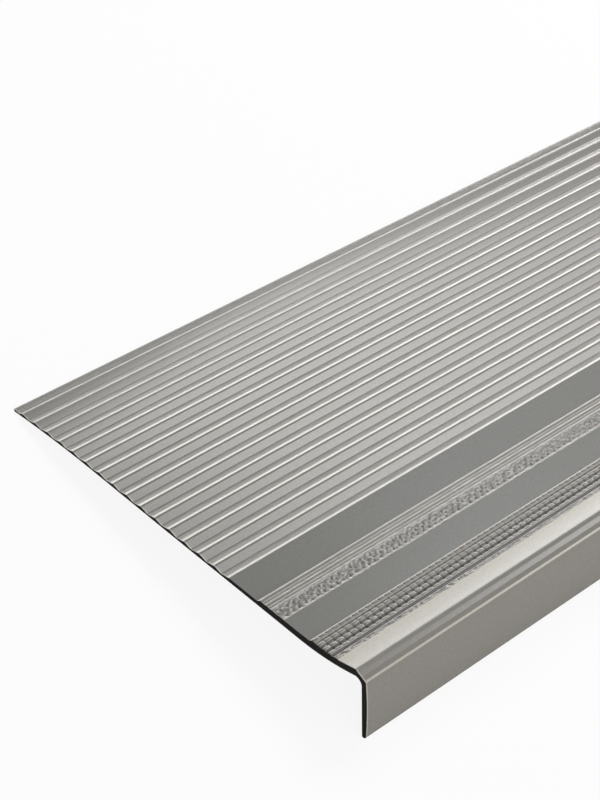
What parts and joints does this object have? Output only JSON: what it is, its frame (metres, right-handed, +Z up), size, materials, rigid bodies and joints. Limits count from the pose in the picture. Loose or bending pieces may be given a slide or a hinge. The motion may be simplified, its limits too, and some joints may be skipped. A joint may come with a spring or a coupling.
{
  "type": "vinyl stair tread",
  "caption": "Moulded vinyl stair tread: thin ribbed sheet with two grip strips along the front and a turned-down square nose.",
  "frame": {"origin": "centre of the footprint, on the floor that the foot of the flange and the back edge rest on", "axes": "+X along the length of the tread, -Y towards the nose, +Z up from the floor; the walking surface slopes down towards +Y by about 5.5 degrees because the loose tread lies on its flange and its back edge"},
  "size_m": [0.61, 0.235, 0.0332],
  "materials": {
    "vinyl": "grey flexible vinyl, semi-matt smooth bands with finely textured ribs"
  },
  "bodies": {
    "root": {"tread": "vinyl"}
  },
  "joints": []
}
